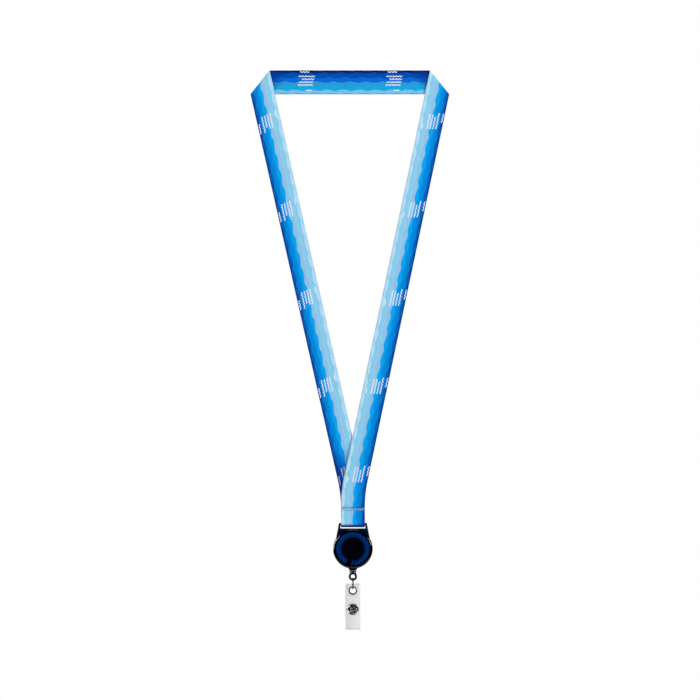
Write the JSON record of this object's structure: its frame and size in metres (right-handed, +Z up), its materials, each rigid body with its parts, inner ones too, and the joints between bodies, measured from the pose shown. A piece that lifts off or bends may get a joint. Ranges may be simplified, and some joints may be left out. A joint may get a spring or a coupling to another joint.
{
  "type": "badge lanyard",
  "caption": "Printed blue neck ribbon sewn round the bar of a round retractable badge reel, with a split ring and a clear vinyl snap strap.",
  "frame": {"origin": "middle of the ribbon's neck band, halfway through its thickness, where the neck carries it", "axes": "+Z up, -Y the front face, +X to the right as seen from the front; the lanyard hangs straight down -Z"},
  "size_m": [0.166, 0.0096, 0.4659],
  "materials": {
    "ribbon_print": "printed satin polyester ribbon in bands of blue",
    "seam_thread": "pale polyester thread",
    "case_plastic": "glossy translucent navy",
    "spool_plastic": "black moulded",
    "pull_cord": "braided nylon",
    "bright_steel": "polished nickel plate",
    "spring_steel": "blued spring strip",
    "clear_vinyl": "frosted clear"
  },
  "bodies": {
    "ribbon": {"neck_strap": "ribbon_print", "needle_thread": "seam_thread", "bobbin_thread": "seam_thread"},
    "reel_case": {"rear_cover": "case_plastic", "front_cover": "case_plastic", "power_spring": "spring_steel", "cord_run": "pull_cord"},
    "spool": {"spool": "spool_plastic", "cord_winding": "pull_cord", "spring_cover": "spring_steel"},
    "cord_stop": {"cord_stop": "case_plastic", "cord_end": "pull_cord"},
    "split_ring": {"split_ring": "bright_steel"},
    "badge_strap": {"vinyl_back_leaf": "clear_vinyl", "vinyl_fold": "clear_vinyl", "strap_eyelet": "bright_steel", "eyelet_washer": "bright_steel", "snap_stud": "bright_steel", "snap_post": "bright_steel"},
    "strap_flap": {"vinyl_front_leaf": "clear_vinyl", "snap_cap": "bright_steel", "snap_socket": "bright_steel"}
  },
  "joints": [
    {"name": "reel_swing", "type": "hinge", "parent": "ribbon", "child": "reel_case", "pos_m": [0.0025, -0.0013, -0.3682], "axis": [1, 0, 0], "range_deg": [-90, 90]},
    {"name": "spool_spin", "type": "hinge", "parent": "reel_case", "child": "spool", "pos_m": [0.0025, -0.0013, -0.3885], "axis": [0, 1, 0], "range_deg": [0, 4400], "deforming": ["power_spring"]},
    {"name": "cord_pull", "type": "slide", "parent": "reel_case", "child": "cord_stop", "axis": [0, 0, -1], "range_m": [0, 0.6], "stiffness_N_per_m": 1, "springref_m": -0.5},
    {"name": "ring_swing", "type": "hinge", "parent": "cord_stop", "child": "split_ring", "pos_m": [0.0025, -0.0013, -0.4144], "axis": [1, 0, 0], "range_deg": [-85, 85]},
    {"name": "strap_swing", "type": "hinge", "parent": "split_ring", "child": "badge_strap", "pos_m": [0.0025, -0.0013, -0.42185], "axis": [0, 1, 0], "range_deg": [-30, 30]},
    {"name": "strap_open", "type": "hinge", "parent": "badge_strap", "child": "strap_flap", "pos_m": [0.0025, -0.0029, -0.45545], "axis": [1, 0, 0], "range_deg": [0, 170], "stiffness_Nm_per_rad": 0.0006, "springref_deg": -17.19, "deforming": ["vinyl_fold"]}
  ],
  "couplings": [
    {"joint": "spool_spin", "follows": "cord_pull", "rad_per_m": 127.4}
  ]
}
